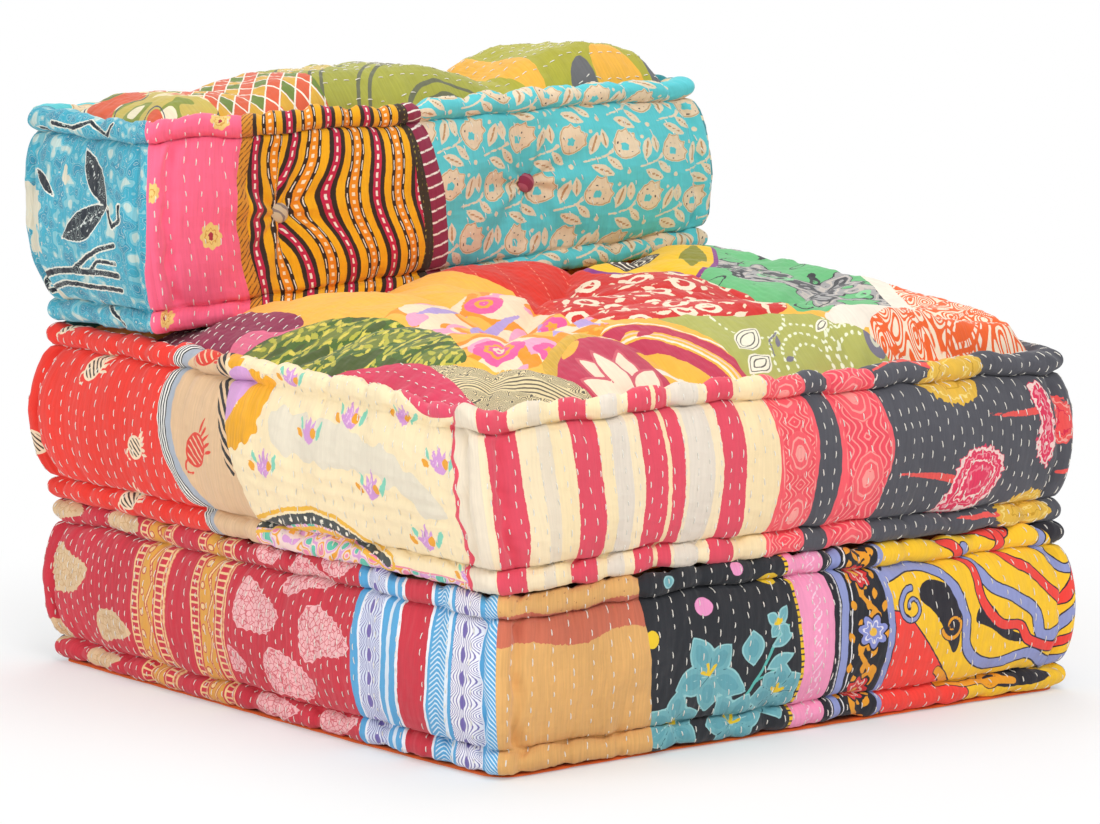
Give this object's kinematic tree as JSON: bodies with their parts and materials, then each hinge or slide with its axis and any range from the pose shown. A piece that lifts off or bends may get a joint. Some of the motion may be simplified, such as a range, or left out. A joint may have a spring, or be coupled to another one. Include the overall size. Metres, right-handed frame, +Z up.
{
  "type": "floor pouf",
  "caption": "Low patchwork floor pouf seat of stacked tufted mattress cushions, with rolled stitched edges and a long bolster back along its rear edge.",
  "frame": {"origin": "centre of the floor footprint, on the floor", "axes": "+X towards the seat's right-hand side, +Y from the front edge towards the back cushion, +Z up"},
  "size_m": [0.7879, 0.824, 0.6562],
  "materials": {
    "cotton_batting": "matte",
    "orange_canvas": "matte",
    "covered_button": "matte",
    "felt_washer": "matte",
    "waxed_twine": "matte",
    "base_top_patchwork": "matte",
    "base_front_patchwork": "matte",
    "base_right_patchwork": "matte",
    "base_rear_patchwork": "matte",
    "base_left_patchwork": "matte",
    "seat_top_patchwork": "matte",
    "seat_front_patchwork": "matte",
    "seat_right_patchwork": "matte",
    "seat_rear_patchwork": "matte",
    "seat_left_patchwork": "matte",
    "back_top_patchwork": "matte",
    "back_front_patchwork": "matte",
    "back_right_patchwork": "matte",
    "back_rear_patchwork": "matte",
    "back_left_patchwork": "matte"
  },
  "bodies": {
    "base_cushion": {"base_core": "cotton_batting", "base_top_panel": "base_top_patchwork", "base_bottom_panel": "orange_canvas", "base_front_border": "base_front_patchwork", "base_right_border": "base_right_patchwork", "base_rear_border": "base_rear_patchwork", "base_left_border": "base_left_patchwork", "base_buttons": "covered_button", "base_washers": "felt_washer", "base_twine": "waxed_twine"},
    "seat_cushion": {"seat_core": "cotton_batting", "seat_top_panel": "seat_top_patchwork", "seat_bottom_panel": "orange_canvas", "seat_front_border": "seat_front_patchwork", "seat_right_border": "seat_right_patchwork", "seat_rear_border": "seat_rear_patchwork", "seat_left_border": "seat_left_patchwork", "seat_buttons": "covered_button", "seat_washers": "felt_washer", "seat_twine": "waxed_twine"},
    "back_cushion": {"back_core": "cotton_batting", "back_top_panel": "back_top_patchwork", "back_bottom_panel": "orange_canvas", "back_front_border": "back_front_patchwork", "back_right_border": "back_right_patchwork", "back_rear_border": "back_rear_patchwork", "back_left_border": "back_left_patchwork", "back_front_buttons": "covered_button", "back_rear_buttons": "covered_button", "back_twine": "waxed_twine"}
  },
  "joints": [
    {"name": "seat_lift", "type": "slide", "parent": "base_cushion", "child": "seat_cushion", "axis": [0, 0, 1], "range_m": [0, 0.25]},
    {"name": "back_lift", "type": "slide", "parent": "seat_cushion", "child": "back_cushion", "axis": [0, 0, 1], "range_m": [0, 0.25]}
  ]
}
